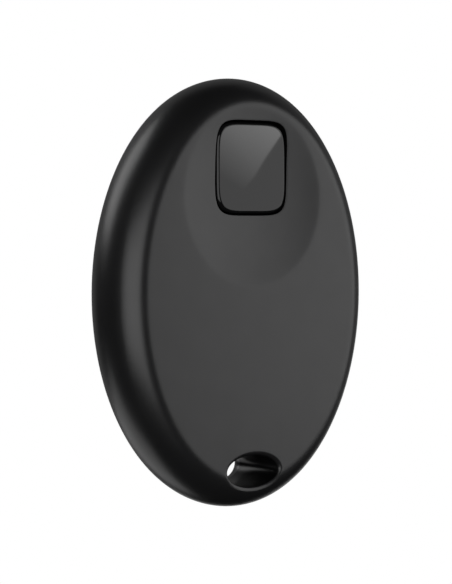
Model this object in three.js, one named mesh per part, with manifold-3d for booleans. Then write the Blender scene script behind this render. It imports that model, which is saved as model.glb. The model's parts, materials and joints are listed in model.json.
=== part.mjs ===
// Bluetooth tracker tag: an oval keyring tag with a round thumb dish, a press button, a keyring
// tunnel and a clip-on back cover over a coin cell and a small radio circuit board.
//
// Units are millimetres. +Z runs up the tag from the keyring tunnel to the button, -Y is the front
// face and +X is to the right seen from the front. The origin is the middle of the keyring tunnel.
// Inside the tag group every piece is drawn about the middle of the oval, halfway through the tag.

import * as THREE from 'three';
import { mergeVertices } from 'three/addons/utils/BufferGeometryUtils.js';
import Module from 'manifold-3d';

const wasm = await Module();
wasm.setup();

// ---------------------------------------------------------------- driving dimensions

const LENGTH = 50;
const WIDTH = 37;
const THICKNESS = 9.2;
const RIM_INSET = 3.4;          // how far in from the outline the rounded rim ends
const FRONT_CROWN = 0.2;        // the front face is this much higher in its middle
const OUTLINE_STEPS = 64;       // sides of the outer oval
const INNER_STEPS = 40;         // sides of the hidden ovals and of the coin cell
const ROUND_STEPS = 24;

const HOLE_DROP = 20.7;         // keyring tunnel below the middle of the oval
const HOLE_WIDTH = 8.4;
const HOLE_HEIGHT = 4.6;

const DISH_RISE = 11.9;         // thumb dish above the middle of the oval
const DISH_RADIUS = 10.4;
const DISH_DEPTH = 0.75;
const DISH_WALL = 1.0;
const DISH_PAD_MARGIN = 0.8;      // the thinned wall behind the dish is this much wider than it

const BUTTON_RISE = 14.5;
const APERTURE_WIDTH = 10.65;
const APERTURE_HEIGHT = 10.95;
const BUTTON_GAP = 0.22;
const BUTTON_EDGE = 0.4;        // radius of the cap's rounded edge
const BUTTON_PROUD = 0.35;      // the cap's face stands out of the dish
const FLANGE_THICKNESS = 0.35;
const BUTTON_SQUARENESS = 5;    // superellipse exponent of the button's outline
const FLANGE_LIP = 0.75;        // the cap's hidden flange reaches this far past the aperture
const FLANGE_GAP = 0.2;

const POCKET_RISE = 2.3;        // the inner pocket and the back cover sit above the tunnel's wall
const COVER_WIDTH = 31.6;
const COVER_LENGTH = 38.8;
const COVER_THICKNESS = 1.0;
const COVER_GAP = 0.1;
const WALL = 1.2;
const LEDGE_WIDTH = 1.2;        // the ledge that carries the seal
const SEAL_THICKNESS = 0.5;
const SEAL_WIDTH = 0.8;

const BOARD_FRONT = -1.2;       // front side of the circuit board
const BOARD_THICKNESS = 0.8;
const BOARD_GAP = 0.3;
const SCREW_ACROSS = 11.9;
const SCREW_RISE = 9.0;
const BOSS_RADIUS = 1.5;
const SCREW_BORE = 0.55;
const SCREW_REACH = 1.7;        // how far a screw goes into its boss

const CELL_DROP = 4.0;          // coin cell below the middle of the oval
const CELL_RADIUS = 10;
const CELL_THICKNESS = 3.2;
const CELL_FRONT = 0.05;
const SHEET = 0.25;             // the cell's steel

// ---------------------------------------------------------------- worked-out dimensions

const FRONT = -THICKNESS / 2;
const BACK = THICKNESS / 2;
const BOARD_BACK = BOARD_FRONT + BOARD_THICKNESS;
const COVER_INNER = BACK - COVER_THICKNESS;
const LEDGE = COVER_INNER - SEAL_THICKNESS;
const POCKET_WIDTH = COVER_WIDTH - 2 * LEDGE_WIDTH;
const POCKET_LENGTH = COVER_LENGTH - 2 * LEDGE_WIDTH;
const POCKET_FLOOR = FRONT + WALL;
const BOARD_WIDTH = POCKET_WIDTH - 2 * BOARD_GAP;
const BOARD_LENGTH = POCKET_LENGTH - 2 * BOARD_GAP;
const DISH_FLOOR = FRONT + FRONT_CROWN / 2 + DISH_DEPTH;
const DISH_BALL = (DISH_RADIUS ** 2 + DISH_DEPTH ** 2) / (2 * DISH_DEPTH);
const DISH_WALL_INNER = DISH_FLOOR + DISH_WALL;
const CELL_BACK = CELL_FRONT + CELL_THICKNESS;
const SWITCH_BODY_TOP = BOARD_FRONT - 0.6;
const SWITCH_TOP = BOARD_FRONT - 0.88;
const PLATE_FRONT = POCKET_FLOOR + 0.3;   // the buzzer's brass plate, on its ring of adhesive
const PLATE_BACK = PLATE_FRONT + 0.2;
const CERAMIC_BACK = PLATE_BACK + 0.2;

// ---------------------------------------------------------------- solids

function toSolid(geometry) {
  const bare = geometry.clone();
  bare.deleteAttribute('normal');
  bare.deleteAttribute('uv');
  const merged = mergeVertices(bare, 1e-5);
  return new wasm.Manifold(new wasm.Mesh({
    numProp: 3,
    vertProperties: new Float32Array(merged.attributes.position.array),
    triVerts: new Uint32Array(merged.index.array),
  }));
}

function toGeometry(solid) {
  const mesh = solid.getMesh();
  const geometry = new THREE.BufferGeometry();
  geometry.setAttribute('position', new THREE.BufferAttribute(new Float32Array(mesh.vertProperties), 3));
  geometry.setIndex(new THREE.BufferAttribute(new Uint32Array(mesh.triVerts), 1));
  geometry.computeVertexNormals();
  return geometry;
}

// Stacked superellipse rings joined into one closed skin; a ring is { halfX, halfZ, y }.
function ringLoft(rings, steps = OUTLINE_STEPS, squareness = 2) {
  const positions = [0, rings[0].y, 0];
  for (const ring of rings) {
    for (let k = 0; k < steps; k++) {
      const turn = (2 * Math.PI * k) / steps;
      const c = Math.cos(turn);
      const s = Math.sin(turn);
      const reach = (Math.abs(c) ** squareness + Math.abs(s) ** squareness) ** (-1 / squareness);
      positions.push(ring.halfX * c * reach, ring.y, ring.halfZ * s * reach);
    }
  }
  const last = positions.length / 3;
  positions.push(0, rings[rings.length - 1].y, 0);
  const faces = [];
  for (let k = 0; k < steps; k++) {
    const next = (k + 1) % steps;
    faces.push(0, 1 + k, 1 + next);
    for (let r = 0; r < rings.length - 1; r++) {
      const a = 1 + r * steps;
      const b = a + steps;
      faces.push(a + k, b + k, a + next);
      faces.push(a + next, b + k, b + next);
    }
    faces.push(last, last - steps + next, last - steps + k);
  }
  const geometry = new THREE.BufferGeometry();
  geometry.setAttribute('position', new THREE.BufferAttribute(new Float32Array(positions), 3));
  geometry.setIndex(faces);
  return geometry;
}

// A straight oval or superellipse prism through the thickness.
function prism(width, height, yFront, yBack, steps = INNER_STEPS, squareness = 2) {
  const halves = { halfX: width / 2, halfZ: height / 2 };
  return ringLoft([{ ...halves, y: yFront }, { ...halves, y: yBack }], steps, squareness);
}

// A body turned about the thickness direction; a profile point is [radius, y].
function turned(profile, steps = ROUND_STEPS) {
  return new THREE.LatheGeometry(profile.map(([r, y]) => new THREE.Vector2(r, y)), steps);
}

function disc(radius, yFront, yBack, steps = ROUND_STEPS) {
  return turned([[0, yFront], [radius, yFront], [radius, yBack], [0, yBack]], steps);
}

function ring(inner, outer, yFront, yBack, steps = ROUND_STEPS) {
  const profile = [[inner, yFront], [outer, yFront], [outer, yBack], [inner, yBack], [inner, yFront]];
  return turned(profile, steps);
}

// A rectangular block with rounded upright edges, flat on both sides of the thickness.
function block(width, height, yFront, yBack, radius = 0.1, arcSteps = 2) {
  const x = width / 2;
  const z = height / 2;
  const shape = new THREE.Shape();
  shape.moveTo(-x + radius, -z);
  shape.lineTo(x - radius, -z);
  shape.absarc(x - radius, -z + radius, radius, -Math.PI / 2, 0);
  shape.lineTo(x, z - radius);
  shape.absarc(x - radius, z - radius, radius, 0, Math.PI / 2);
  shape.lineTo(-x + radius, z);
  shape.absarc(-x + radius, z - radius, radius, Math.PI / 2, Math.PI);
  shape.lineTo(-x, -z + radius);
  shape.absarc(-x + radius, -z + radius, radius, Math.PI, 1.5 * Math.PI);
  const options = { depth: yBack - yFront, bevelEnabled: false, curveSegments: arcSteps };
  const geometry = new THREE.ExtrudeGeometry(shape, options);
  geometry.rotateX(Math.PI / 2);
  geometry.translate(0, yBack, 0);
  return geometry;
}

const at = (geometry, x, y, z) => geometry.clone().translate(x, y, z);
const cut = (solid, geometry) => solid.subtract(toSolid(geometry));
const join = (solid, geometry) => solid.add(toSolid(geometry));

// ---------------------------------------------------------------- casing

// The whole pebble: a crowned front, a rim that is half an ellipse in section, and a flat back.
function wholeBody() {
  const rings = [];
  const flatX = WIDTH / 2 - RIM_INSET;
  const flatZ = LENGTH / 2 - RIM_INSET;
  for (const share of [0.05, 0.4, 0.75]) {
    rings.push({ halfX: flatX * share, halfZ: flatZ * share, y: FRONT + FRONT_CROWN * share ** 2 });
  }
  const rimSteps = 10;
  for (let k = 0; k <= rimSteps; k++) {
    const turn = (Math.PI * k) / rimSteps;
    const reach = RIM_INSET * Math.sin(turn);
    const halfDepth = k < rimSteps / 2 ? BACK - FRONT_CROWN : BACK;
    rings.push({ halfX: flatX + reach, halfZ: flatZ + reach, y: -halfDepth * Math.cos(turn) });
  }
  return toSolid(ringLoft(rings));
}

// The thumb dish as a cutter: a shallow cap of a large ball, carried on upwards and out of the face.
function dishCutter() {
  const profile = [];
  const steps = 5;
  const reach = DISH_RADIUS * 1.25;
  for (let k = 0; k <= steps; k++) {
    const r = (reach * k) / steps;
    profile.push([r, DISH_FLOOR + Math.sqrt(DISH_BALL ** 2 - r ** 2) - DISH_BALL]);
  }
  profile.push([reach, FRONT * 2]);
  profile.push([0, FRONT * 2]);
  profile.reverse();
  return at(turned(profile, INNER_STEPS), 0, 0, DISH_RISE);
}

function holeCutter() {
  return at(prism(HOLE_WIDTH, HOLE_HEIGHT, FRONT * 2, BACK * 2, OUTLINE_STEPS), 0, 0, -HOLE_DROP);
}

// A prism of the button aperture's outline, grown on every side.
function buttonOutline(grow, yFront, yBack) {
  return prism(APERTURE_WIDTH + 2 * grow, APERTURE_HEIGHT + 2 * grow, yFront, yBack, INNER_STEPS, BUTTON_SQUARENESS);
}

// A finger-nail slot across the seam at the top of the cover.
function pryCutter() {
  const slotWidth = 6;
  const slotHeight = 1.6;
  const slotDepth = 0.7;
  const seam = POCKET_RISE + COVER_LENGTH / 2;
  return at(prism(slotWidth, slotHeight, BACK - slotDepth, BACK * 2, ROUND_STEPS), 0, 0, seam - 0.2);
}

function frontShell() {
  const boardStep = prism(POCKET_WIDTH - 2, POCKET_LENGTH - 2, POCKET_FLOOR, BOARD_FRONT);
  const dishPad = disc(DISH_RADIUS + DISH_PAD_MARGIN, POCKET_FLOOR - WALL, DISH_WALL_INNER, INNER_STEPS);
  let pocket = cut(toSolid(at(boardStep, 0, 0, POCKET_RISE)), at(dishPad, 0, 0, DISH_RISE));
  for (const side of [-1, 1]) {
    const boss = disc(BOSS_RADIUS, POCKET_FLOOR - WALL, BOARD_FRONT);
    pocket = cut(pocket, at(boss, side * SCREW_ACROSS, 0, SCREW_RISE));
  }
  const flangeRoom = buttonOutline(FLANGE_LIP + FLANGE_GAP, DISH_WALL_INNER, BOARD_FRONT);
  pocket = join(pocket, at(flangeRoom, 0, 0, BUTTON_RISE));
  pocket = join(pocket, at(prism(POCKET_WIDTH, POCKET_LENGTH, BOARD_FRONT, LEDGE), 0, 0, POCKET_RISE));
  pocket = join(pocket, at(prism(COVER_WIDTH, COVER_LENGTH, LEDGE, BACK * 2), 0, 0, POCKET_RISE));

  let shell = wholeBody().subtract(pocket);
  shell = cut(shell, dishCutter());
  shell = cut(shell, at(buttonOutline(0, FRONT * 2, BOARD_FRONT), 0, 0, BUTTON_RISE));
  shell = cut(shell, holeCutter());
  shell = cut(shell, pryCutter());
  for (const side of [-1, 1]) {
    shell = cut(shell, at(disc(SCREW_BORE, BOARD_FRONT - SCREW_REACH - 0.2, BACK), side * SCREW_ACROSS, 0, SCREW_RISE));
  }
  return toGeometry(shell);
}

function backCover() {
  const width = COVER_WIDTH - 2 * COVER_GAP;
  const length = COVER_LENGTH - 2 * COVER_GAP;
  const plate = at(prism(width, length, COVER_INNER, BACK * 2), 0, 0, POCKET_RISE);
  let cover = wholeBody().intersect(toSolid(plate));

  const skirtOuter = POCKET_WIDTH - 3 * COVER_GAP;
  const skirtOuterLength = POCKET_LENGTH - 3 * COVER_GAP;
  const skirtWall = 0.8;
  const skirtFront = COVER_INNER - 1.4;
  let skirt = toSolid(prism(skirtOuter, skirtOuterLength, skirtFront, COVER_INNER));
  const inside = 2 * skirtWall;
  const hollow = prism(skirtOuter - inside, skirtOuterLength - inside, skirtFront - 1, COVER_INNER);
  skirt = cut(skirt, hollow);
  // The skirt is cut into four clip tabs.
  const gapWidth = 9;
  skirt = cut(skirt, block(gapWidth, LENGTH, skirtFront - 1, COVER_INNER));
  skirt = cut(skirt, block(WIDTH, gapWidth, skirtFront - 1, COVER_INNER));
  cover = cover.add(toSolid(at(toGeometry(skirt), 0, 0, POCKET_RISE)));

  cover = cut(cover, pryCutter());
  for (const place of [-1, 0, 1]) {
    cover = cut(cover, at(disc(0.5, 0, BACK * 2, 12), place * 2.2, 0, POCKET_RISE + 13));
  }
  return toGeometry(cover);
}

function coverSeal() {
  const edge = LEDGE_WIDTH - SEAL_WIDTH;
  const width = COVER_WIDTH - edge;
  const length = COVER_LENGTH - edge;
  const whole = toSolid(prism(width, length, LEDGE, COVER_INNER));
  const seal = cut(whole, prism(width - 2 * SEAL_WIDTH, length - 2 * SEAL_WIDTH, FRONT, BACK));
  return toGeometry(seal);
}

function batteryPad() {
  return disc(6, CELL_BACK + 0.05, COVER_INNER);
}

// ---------------------------------------------------------------- button and switch

function buttonCap() {
  const flangeFront = DISH_WALL_INNER + 0.05;
  const flangeBack = flangeFront + FLANGE_THICKNESS;
  const flange = { halfX: APERTURE_WIDTH / 2 + FLANGE_LIP, halfZ: APERTURE_HEIGHT / 2 + FLANGE_LIP };
  const width = APERTURE_WIDTH - 2 * BUTTON_GAP;
  const height = APERTURE_HEIGHT - 2 * BUTTON_GAP;
  const faceY = DISH_FLOOR - BUTTON_PROUD;
  const rings = [];
  const edgeSteps = 4;
  for (let k = 0; k <= edgeSteps; k++) {
    const turn = (Math.PI * k) / (2 * edgeSteps);
    const inset = BUTTON_EDGE * (1 - Math.sin(turn));
    rings.push({ halfX: width / 2 - inset, halfZ: height / 2 - inset, y: faceY + BUTTON_EDGE * (1 - Math.cos(turn)) });
  }
  rings.push({ halfX: width / 2, halfZ: height / 2, y: flangeFront });
  rings.push({ ...flange, y: flangeFront }, { ...flange, y: flangeBack });
  const face = ringLoft(rings, INNER_STEPS, BUTTON_SQUARENESS);
  const post = disc(0.8, flangeFront, SWITCH_TOP - 0.04);
  return toGeometry(join(toSolid(face), post));
}

function switchBase() {
  const base = toSolid(block(3.9, 3.9, SWITCH_BODY_TOP, BOARD_FRONT, 0.4));
  return toGeometry(cut(base, disc(1.5, SWITCH_BODY_TOP - 1, BOARD_FRONT - 0.12)));
}

function switchFrame() {
  const frame = toSolid(block(3.9, 3.9, SWITCH_BODY_TOP - 0.1, SWITCH_BODY_TOP, 0.4));
  return toGeometry(cut(frame, disc(1.0, SWITCH_BODY_TOP - 1, BOARD_FRONT)));
}

function switchPlunger() {
  const footFront = SWITCH_BODY_TOP + 0.02;
  const profile = [[0, SWITCH_TOP], [0.85, SWITCH_TOP], [0.85, footFront], [1.35, footFront]];
  return turned([...profile, [1.35, footFront + 0.15], [0, footFront + 0.15]]);
}

// ---------------------------------------------------------------- circuit board

function circuitBoard() {
  let board = toSolid(prism(BOARD_WIDTH, BOARD_LENGTH, BOARD_FRONT, BOARD_BACK));
  for (const side of [-1, 1]) {
    const hole = disc(0.7, BOARD_FRONT - 1, BOARD_BACK + 1, 16);
    board = cut(board, at(hole, side * SCREW_ACROSS, 0, SCREW_RISE - POCKET_RISE));
  }
  return toGeometry(board);
}

function boardScrew() {
  const profile = [[0, BOARD_FRONT - SCREW_REACH], [0.3, BOARD_FRONT - SCREW_REACH], [0.5, BOARD_FRONT - SCREW_REACH + 0.3]];
  profile.push([0.5, BOARD_BACK], [1.0, BOARD_BACK], [1.0, BOARD_BACK + 0.35], [0.7, BOARD_BACK + 0.6]);
  profile.push([0, BOARD_BACK + 0.6]);
  const screw = toSolid(turned(profile, 20));
  const slot = new THREE.BoxGeometry(0.25, 0.5, 3);
  const cross = cut(cut(screw, at(slot, 0, BOARD_BACK + 0.6, 0)),
    at(slot.clone().rotateY(Math.PI / 2), 0, BOARD_BACK + 0.6, 0));
  return toGeometry(cross);
}

// A chip, crystal or passive soldered on the back side of the board.
function chip(width, height, depth, radius = 0.1) {
  return block(width, height, BOARD_BACK, BOARD_BACK + depth, radius);
}

// The radio's printed antenna: a square-wave track of upright bars and short links.
function antennaTrack() {
  const track = 0.4;
  const pitch = 1.2;
  const bars = 9;
  const height = 2.2;
  const top = BOARD_BACK + 0.06;
  const half = ((bars - 1) * pitch) / 2;
  let antenna = toSolid(at(block(track, height + 1.2, BOARD_BACK, top, 0.02, 1), -half, 0, -0.6));
  for (let k = 1; k < bars; k++) {
    const x = -half + k * pitch;
    const z = ((k % 2 ? 1 : -1) * (height - track)) / 2;
    antenna = join(antenna, at(block(track, height, BOARD_BACK, top, 0.02, 1), x, 0, 0));
    antenna = join(antenna, at(block(pitch + track, track, BOARD_BACK, top, 0.02, 1), x - pitch / 2, 0, z));
  }
  return toGeometry(antenna);
}

function boostCoil() {
  const coil = toSolid(chip(3, 3, 0.3, 0.5));
  const drum = disc(1.45, BOARD_BACK + 0.3, BOARD_BACK + 0.95);
  return toGeometry(join(join(coil, drum), block(3, 3, BOARD_BACK + 0.95, BOARD_BACK + 1.25, 0.5)));
}

// ---------------------------------------------------------------- buzzer

function springPin(tip) {
  const barrel = BOARD_FRONT - 0.9;
  return turned([[0, tip], [0.25, tip], [0.35, tip + 0.15], [0.35, barrel], [0.6, barrel],
    [0.6, BOARD_FRONT], [0, BOARD_FRONT]], 16);
}

// ---------------------------------------------------------------- coin cell and its holder

function cellCan() {
  const mouth = CELL_FRONT + 0.25;
  const floor = CELL_BACK - SHEET;
  return turned([[0, floor], [CELL_RADIUS - SHEET - 0.1, floor], [CELL_RADIUS - SHEET - 0.1, mouth],
    [CELL_RADIUS - 0.15, mouth], [CELL_RADIUS, mouth + 0.2], [CELL_RADIUS, CELL_BACK - 0.3],
    [CELL_RADIUS - 0.3, CELL_BACK], [0, CELL_BACK]], INNER_STEPS);
}

function cellGasket() {
  return ring(9.2, 9.6, CELL_FRONT + 0.25, CELL_BACK - 0.3, INNER_STEPS);
}

function cellCap() {
  const outer = 9.15;
  const rim = CELL_BACK - 0.35;
  return turned([[0, CELL_FRONT], [outer - 0.35, CELL_FRONT], [outer, CELL_FRONT + 0.3], [outer, rim],
    [outer - SHEET, rim], [outer - SHEET, CELL_FRONT + 0.35], [outer - 0.4, CELL_FRONT + SHEET],
    [0, CELL_FRONT + SHEET]], INNER_STEPS);
}

function cellCore() {
  return disc(8.85, CELL_FRONT + 0.45, CELL_BACK - 0.35, INNER_STEPS);
}

function batteryHolder() {
  const inner = CELL_RADIUS + 0.15;
  const outer = CELL_RADIUS + 1.05;
  const top = 2.0;
  const holder = toSolid(ring(inner, outer, BOARD_BACK, top, INNER_STEPS));
  const thumbGap = block(4, 7, 0.3, top + 1);
  return toGeometry(cut(holder, at(thumbGap, -outer, 0, 0)));
}

// A strip bent along x and y points, as wide as stated along z.
function bentStrip(points, sheet, width) {
  let strip = null;
  for (let k = 0; k < points.length - 1; k++) {
    const [x0, y0] = points[k];
    const [x1, y1] = points[k + 1];
    const sizeX = Math.abs(x1 - x0) + sheet;
    const sizeY = Math.abs(y1 - y0) + sheet;
    const leg = at(new THREE.BoxGeometry(sizeX, sizeY, width), (x0 + x1) / 2, (y0 + y1) / 2, 0);
    strip = strip ? join(strip, leg) : toSolid(leg);
  }
  return toGeometry(strip);
}

function positiveClip() {
  const sheet = 0.16;
  const outside = CELL_RADIUS + 1.25;
  const foot = BOARD_BACK + sheet / 2;
  const hook = CELL_BACK + 0.02 + sheet / 2;
  return bentStrip([[outside + 1.2, foot], [outside, foot], [outside, hook], [8.2, hook]], sheet, 4);
}

function negativeContact() {
  const sheet = 0.15;
  const touch = CELL_FRONT - 0.02;
  return turned([[0, BOARD_BACK], [3, BOARD_BACK], [3, BOARD_BACK + sheet], [1.6, BOARD_BACK + sheet],
    [0.7, touch], [0, touch]]);
}

// ---------------------------------------------------------------- finishes

function finish(color, roughness, metalness = 0) {
  return new THREE.MeshStandardMaterial({ color, roughness, metalness });
}

const FINISHES = {
  casing: () => finish(0x1b1b1c, 0.55),
  gloss: () => finish(0x121213, 0.12),
  silicone: () => finish(0x2a2a2c, 0.8),
  foam: () => finish(0x3a3a3c, 0.95),
  nylon: () => finish(0x202022, 0.5),
  board: () => finish(0x0f3d2a, 0.4),
  epoxy: () => finish(0x17171a, 0.45),
  steel: () => finish(0xc4c6c8, 0.3, 1),
  gold: () => finish(0xd9b25a, 0.3, 1),
  brass: () => finish(0xc9a24b, 0.35, 1),
  ceramic: () => finish(0xe8e4da, 0.4),
  capacitor: () => finish(0xb08a5e, 0.45),
  resistor: () => finish(0x1c1c20, 0.4),
  tantalum: () => finish(0xd9a032, 0.45),
  ferrite: () => finish(0x3b3b3d, 0.6),
  core: () => finish(0x2b2b2b, 0.9),
};

const group = new THREE.Group();
const tag = new THREE.Group();
tag.position.z = HOLE_DROP;
group.add(tag);

function add(name, geometry, look, x = 0, z = 0) {
  const mesh = new THREE.Mesh(geometry, FINISHES[look]());
  mesh.name = name;
  mesh.position.set(x, 0, z);
  tag.add(mesh);
}

// ---------------------------------------------------------------- assembly

add('front_shell', frontShell(), 'casing');
add('back_cover', backCover(), 'casing');
add('cover_seal', coverSeal(), 'silicone', 0, POCKET_RISE);
add('battery_pad', batteryPad(), 'foam', 0, -CELL_DROP);

add('button_cap', buttonCap(), 'gloss', 0, BUTTON_RISE);
add('switch_base', switchBase(), 'nylon', 0, BUTTON_RISE);
add('switch_frame', switchFrame(), 'steel', 0, BUTTON_RISE);
add('switch_plunger', switchPlunger(), 'nylon', 0, BUTTON_RISE);

add('circuit_board', circuitBoard(), 'board', 0, POCKET_RISE);
add('board_screw_left', boardScrew(), 'steel', -SCREW_ACROSS, SCREW_RISE);
add('board_screw_right', boardScrew(), 'steel', SCREW_ACROSS, SCREW_RISE);
add('radio_chip', chip(5, 5, 0.85), 'epoxy', 0.4, 12.4);
add('main_crystal', chip(3.2, 2.5, 0.7, 0.3), 'steel', 5.8, 13.2);
add('clock_crystal', chip(3.2, 1.5, 0.75, 0.2), 'steel', 5.8, 10.2);
add('boost_coil', boostCoil(), 'ferrite', -7.2, 9.4);
add('buzzer_driver', chip(2.9, 1.5, 0.95), 'epoxy', -6.6, 12.8);
add('bulk_capacitor', chip(3.4, 1.7, 1.5, 0.1), 'tantalum', 8.2, 6.6);
add('antenna_track', antennaTrack(), 'gold', 0.4, 17.4);

const CAPACITOR_PLACES = [[-3.2, 10.6], [-3.2, 12.0], [-3.2, 13.4], [-1.6, 15.5], [2.4, 15.5], [3.0, 8.4]];
CAPACITOR_PLACES.forEach(([x, z], k) => {
  add(`capacitor_${k + 1}`, chip(1.1, 0.6, 0.55, 0.06), 'capacitor', x, z);
});

const RESISTOR_PLACES = [[-3.8, 8.4], [-10.2, 6.4], [-6.6, 14.8], [8.4, 9.0]];
RESISTOR_PLACES.forEach(([x, z], k) => {
  add(`resistor_${k + 1}`, chip(1.1, 0.6, 0.35, 0.06), 'resistor', x, z);
});

const PAD_COUNT = 4;
const PAD_PITCH = 1.4;
for (let k = 0; k < PAD_COUNT; k++) {
  add(`test_pad_${k + 1}`, disc(0.5, BOARD_BACK, BOARD_BACK + 0.06, 16), 'gold', -2.2 + k * PAD_PITCH, 8.4);
}

const BUZZER_DROP = 7.2;
add('buzzer_adhesive', ring(6.2, 7, POCKET_FLOOR, PLATE_FRONT, 32), 'foam', 0, -BUZZER_DROP);
add('buzzer_plate', disc(7, PLATE_FRONT, PLATE_BACK, 32), 'brass', 0, -BUZZER_DROP);
add('buzzer_ceramic', disc(4.9, PLATE_BACK, CERAMIC_BACK, 32), 'ceramic', 0, -BUZZER_DROP);
add('buzzer_pin_plate', springPin(PLATE_BACK + 0.02), 'gold', 6, -BUZZER_DROP);
add('buzzer_pin_ceramic', springPin(CERAMIC_BACK + 0.02), 'gold', 2.5, -BUZZER_DROP);

add('cell_can', cellCan(), 'steel', 0, -CELL_DROP);
add('cell_gasket', cellGasket(), 'nylon', 0, -CELL_DROP);
add('cell_cap', cellCap(), 'steel', 0, -CELL_DROP);
add('cell_core', cellCore(), 'core', 0, -CELL_DROP);
add('battery_holder', batteryHolder(), 'nylon', 0, -CELL_DROP);
add('positive_clip', positiveClip(), 'steel', 0, -CELL_DROP);
add('negative_contact', negativeContact(), 'steel', 0, -CELL_DROP);

export default group;
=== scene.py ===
# %% [markdown]
# # A Bluetooth tracker tag
#
# The tag is a flat black pebble for a key ring: an oval shell with a round thumb dish, a square
# press button in the dish, a tunnel for the ring at the foot and a clip-on cover on the back.
# The mechanical model is loaded first. It is the frame that everything else is measured from.

# %% Load the frame
import json
import math

import bmesh
import bpy
import numpy as np
from mathutils import Matrix, Vector
from mathutils.geometry import delaunay_2d_cdt


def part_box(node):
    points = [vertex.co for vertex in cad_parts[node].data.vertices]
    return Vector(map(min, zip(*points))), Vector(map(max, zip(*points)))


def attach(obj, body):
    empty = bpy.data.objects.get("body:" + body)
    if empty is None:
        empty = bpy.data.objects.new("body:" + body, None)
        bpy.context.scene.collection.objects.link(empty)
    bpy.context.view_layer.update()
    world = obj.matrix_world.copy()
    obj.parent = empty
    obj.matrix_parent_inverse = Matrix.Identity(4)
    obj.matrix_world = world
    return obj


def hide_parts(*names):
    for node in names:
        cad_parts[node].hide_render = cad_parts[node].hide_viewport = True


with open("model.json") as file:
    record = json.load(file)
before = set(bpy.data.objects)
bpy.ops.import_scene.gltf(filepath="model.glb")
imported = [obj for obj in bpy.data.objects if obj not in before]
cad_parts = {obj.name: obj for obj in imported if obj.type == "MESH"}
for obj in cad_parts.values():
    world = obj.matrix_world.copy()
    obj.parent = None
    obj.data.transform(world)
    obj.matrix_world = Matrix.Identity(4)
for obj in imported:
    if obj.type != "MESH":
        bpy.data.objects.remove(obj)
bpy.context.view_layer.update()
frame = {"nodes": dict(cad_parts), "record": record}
low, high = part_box("front_shell")
MIDDLE = np.array((low + high) / 2)
MM = 0.001

# %% [markdown]
# The drawing below is in millimetres about the middle of the oval, with x to the right, y through
# the thickness (the front is negative) and z upwards. These are the sizes of the mechanical model,
# apart from the ring tunnel: the HOLE sizes are its throat, between the rounded lips drawn here.

# %% Sizes
HALF_WIDTH, HALF_THICKNESS, HALF_LENGTH = (np.array(high) - np.array(low)) / 2 / MM
RIM = 3.4                     # the rounded rim's reach in from the outline
FLAT_X, FLAT_Z = HALF_WIDTH - RIM, HALF_LENGTH - RIM
CROWN = 0.2                   # the front face is this much higher in its middle
DISH_RISE, DISH_BALL, DISH_FLOOR, DISH_EDGE = 11.9, 72.5, -3.75, 0.045
DISH_REACH, DISH_FADE = 14.5, 2     # the dish's soft edge has faded out at this distance, over this width
BUTTON_RISE, BUTTON_HALF_X, BUTTON_HALF_Z, SQUARENESS = 14.5, 5.325, 5.475, 5
BUTTON_GAP = 0.22
HOLE_DROP, HOLE_HALF_X, HOLE_HALF_Z = 20.57, 3.8, 1.86
COVER_RISE, COVER_HALF_X, COVER_HALF_Z, COVER_GAP = 2.3, 15.8, 19.4, 0.1
COVER_INNER, LEDGE, DISH_WALL = 3.6, 3.1, -2.75
POCKET_HALF_X, POCKET_HALF_Z, POCKET_FRONT, POCKET_EDGE = 14.6, 18.2, -3.45, 1.003
RECESS_HALF_X, RECESS_HALF_Z, RECESS_BACK = 6.35, 6.5, -1.1     # round the button's flange
PRY_RISE, PRY_HALF_X, PRY_HALF_Z, PRY_DEPTH, PRY_EASE = 21.5, 3.0, 0.8, 0.7, 0.6
LEVEL = 0.004                 # depths nearer than this to each other are the same level
SPARE = 0.01                  # what lies past an outline or a level by less than this still counts
print("half sizes", round(HALF_WIDTH, 3), round(HALF_THICKNESS, 3), round(HALF_LENGTH, 3))

# %% [markdown]
# ## Camera
#
# The camera stands to the left of the tag, a little above its middle, and far enough away that a
# longish lens fills the upright frame. It is made first, so that every later look is through it.

# %% Camera
AZIMUTH, ELEVATION, ROLL = math.radians(-38.65), math.radians(1.753), math.radians(0.115)
DISTANCE, AIM_LEFT, AIM_UP = 0.25355, 0.00048, 0.0000925
FOCAL_LENGTH, SENSOR_WIDTH = 133.53, 36


def aim_camera():
    """The camera looks back along one direction: sine and cosine of the azimuth, lifted by the elevation."""
    back = Vector((math.sin(AZIMUTH) * math.cos(ELEVATION),
                   -math.cos(AZIMUTH) * math.cos(ELEVATION), math.sin(ELEVATION)))
    right = Vector((math.cos(AZIMUTH), math.sin(AZIMUTH), 0))
    up = back.cross(right)
    aim = Vector(MIDDLE) - right * AIM_LEFT + up * AIM_UP
    data = bpy.data.cameras.new("photo_camera")
    data.lens = FOCAL_LENGTH
    data.sensor_width = SENSOR_WIDTH
    data.clip_start = 0.01
    camera = bpy.data.objects.new("photo_camera", data)
    turn = Matrix((right, up, back)).transposed().to_4x4()
    camera.matrix_world = Matrix.Translation(aim + back * DISTANCE) @ turn @ Matrix.Rotation(-ROLL, 4, "Z")
    bpy.context.scene.collection.objects.link(camera)
    bpy.context.scene.camera = camera
    return camera


camera = aim_camera()
print("camera at", [round(v, 4) for v in camera.matrix_world.translation])

# %% [markdown]
# ## Floor and light
#
# A black object on white is lit by what it mirrors. Each light is a soft box, placed by the compass
# direction that it shines from, and a satin rim shows it as a band. The camera doesn't see the
# boxes. It does see the white floor and backdrop, which are left out of every reflection.

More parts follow.
